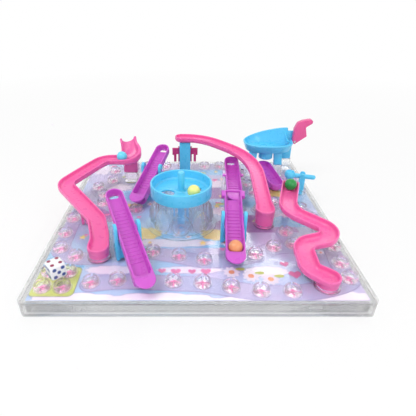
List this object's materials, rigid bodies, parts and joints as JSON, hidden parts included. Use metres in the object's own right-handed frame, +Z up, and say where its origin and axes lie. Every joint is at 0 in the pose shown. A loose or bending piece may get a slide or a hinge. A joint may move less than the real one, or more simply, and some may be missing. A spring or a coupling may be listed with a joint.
{
  "type": "marble snakes and ladders game",
  "caption": "Marble board game in a clear case: pink slides and see-saw ladders stand on a clear deck over a printed card, with a spinning drum, a lift, a launcher and a flip lever.",
  "frame": {"origin": "middle of the case's underside", "axes": "+Z up, +X to the right and +Y to the back as seen from the front, where the snap tabs are"},
  "size_m": [0.3, 0.2812, 0.0829],
  "materials": {
    "clear": "gloss",
    "card": "satin",
    "pink": "gloss",
    "magenta": "gloss",
    "purple": "gloss",
    "blue": "gloss",
    "steel": "satin",
    "light_blue": "gloss",
    "yellow": "gloss",
    "orange": "gloss",
    "green": "gloss",
    "white": "gloss"
  },
  "bodies": {
    "case": {"base_tray": "clear", "printed_card": "card"},
    "deck": {"top_deck": "clear", "cell_cups": "clear", "slide_sockets": "clear", "drum_pedestal": "clear", "drum_bearing": "clear", "tower_pedestal": "clear", "zigzag_slide": "pink", "s_slide": "pink", "arch_slide": "pink", "arch_post": "blue", "yoke_front_left": "blue", "yoke_back_left": "blue", "yoke_right_lower": "blue", "yoke_right_upper": "clear", "launcher_base": "clear", "launcher_bowl": "blue", "paddle_pin": "steel", "drop_chute": "purple", "lever_socket": "clear", "lever_post": "blue"},
    "drum": {"spinner_drum": "blue"},
    "carriage": {"lift_carriage": "magenta"},
    "ladder_fl": {"ladder_front_left": "purple"},
    "ladder_bl": {"ladder_back_left": "purple"},
    "ladder_rl": {"ladder_right_lower": "purple"},
    "ladder_ru": {"ladder_right_upper": "purple"},
    "paddle": {"launcher_paddle": "pink"},
    "lever": {"flip_lever": "blue"},
    "blue_ball": {"ball_light_blue": "light_blue"},
    "yellow_ball": {"ball_yellow": "yellow"},
    "orange_ball": {"ball_orange": "orange"},
    "green_ball": {"ball_green": "green"},
    "loose_die": {"die": "white"}
  },
  "joints": [
    {"name": "deck_lift", "type": "slide", "parent": "case", "child": "deck", "axis": [0, 0, 1], "range_m": [0, 0.04]},
    {"name": "drum_spin", "type": "hinge", "parent": "deck", "child": "drum", "pos_m": [-0.014, -0.021, 0.047], "axis": [0, 0, 1], "continuous": true},
    {"name": "carriage_slide", "type": "slide", "parent": "deck", "child": "carriage", "axis": [0, 0, 1], "range_m": [-0.012, 0.006]},
    {"name": "ladder_front_left_tip", "type": "hinge", "parent": "deck", "child": "ladder_fl", "pos_m": [-0.061, -0.079, 0.0416], "axis": [-0.9239, -0.3827, 0], "range_deg": [0, 34]},
    {"name": "ladder_back_left_tip", "type": "hinge", "parent": "deck", "child": "ladder_bl", "pos_m": [-0.0496, 0.053, 0.0402], "axis": [-0.9573, 0.289, 0], "range_deg": [0, 34]},
    {"name": "ladder_right_lower_tip", "type": "hinge", "parent": "deck", "child": "ladder_rl", "pos_m": [0.0358, -0.055, 0.038], "axis": [-0.9984, 0.0558, 0], "range_deg": [0, 34]},
    {"name": "ladder_right_upper_tip", "type": "hinge", "parent": "deck", "child": "ladder_ru", "pos_m": [0.0454, 0.043, 0.0375], "axis": [-0.9996, 0.0297, 0], "range_deg": [0, 22]},
    {"name": "paddle_flick", "type": "hinge", "parent": "deck", "child": "paddle", "pos_m": [0.1325, 0.114, 0.0535], "axis": [0, -1, 0], "range_deg": [0, 30]},
    {"name": "lever_tip", "type": "hinge", "parent": "deck", "child": "lever", "pos_m": [0.127, 0.043, 0.036], "axis": [0.284, 0.9588, 0], "range_deg": [-14, 14]},
    {"name": "blue_ball_lift", "type": "slide", "parent": "deck", "child": "blue_ball", "axis": [0, 0, 1], "range_m": [0, 0.05]},
    {"name": "yellow_ball_lift", "type": "slide", "parent": "drum", "child": "yellow_ball", "axis": [0, 0, 1], "range_m": [0, 0.05]},
    {"name": "orange_ball_lift", "type": "slide", "parent": "ladder_rl", "child": "orange_ball", "axis": [0, 0, 1], "range_m": [0, 0.05]},
    {"name": "green_ball_lift", "type": "slide", "parent": "deck", "child": "green_ball", "axis": [0, 0, 1], "range_m": [0, 0.05]},
    {"name": "die_lift", "type": "slide", "parent": "deck", "child": "loose_die", "axis": [0, 0, 1], "range_m": [0, 0.05]}
  ]
}
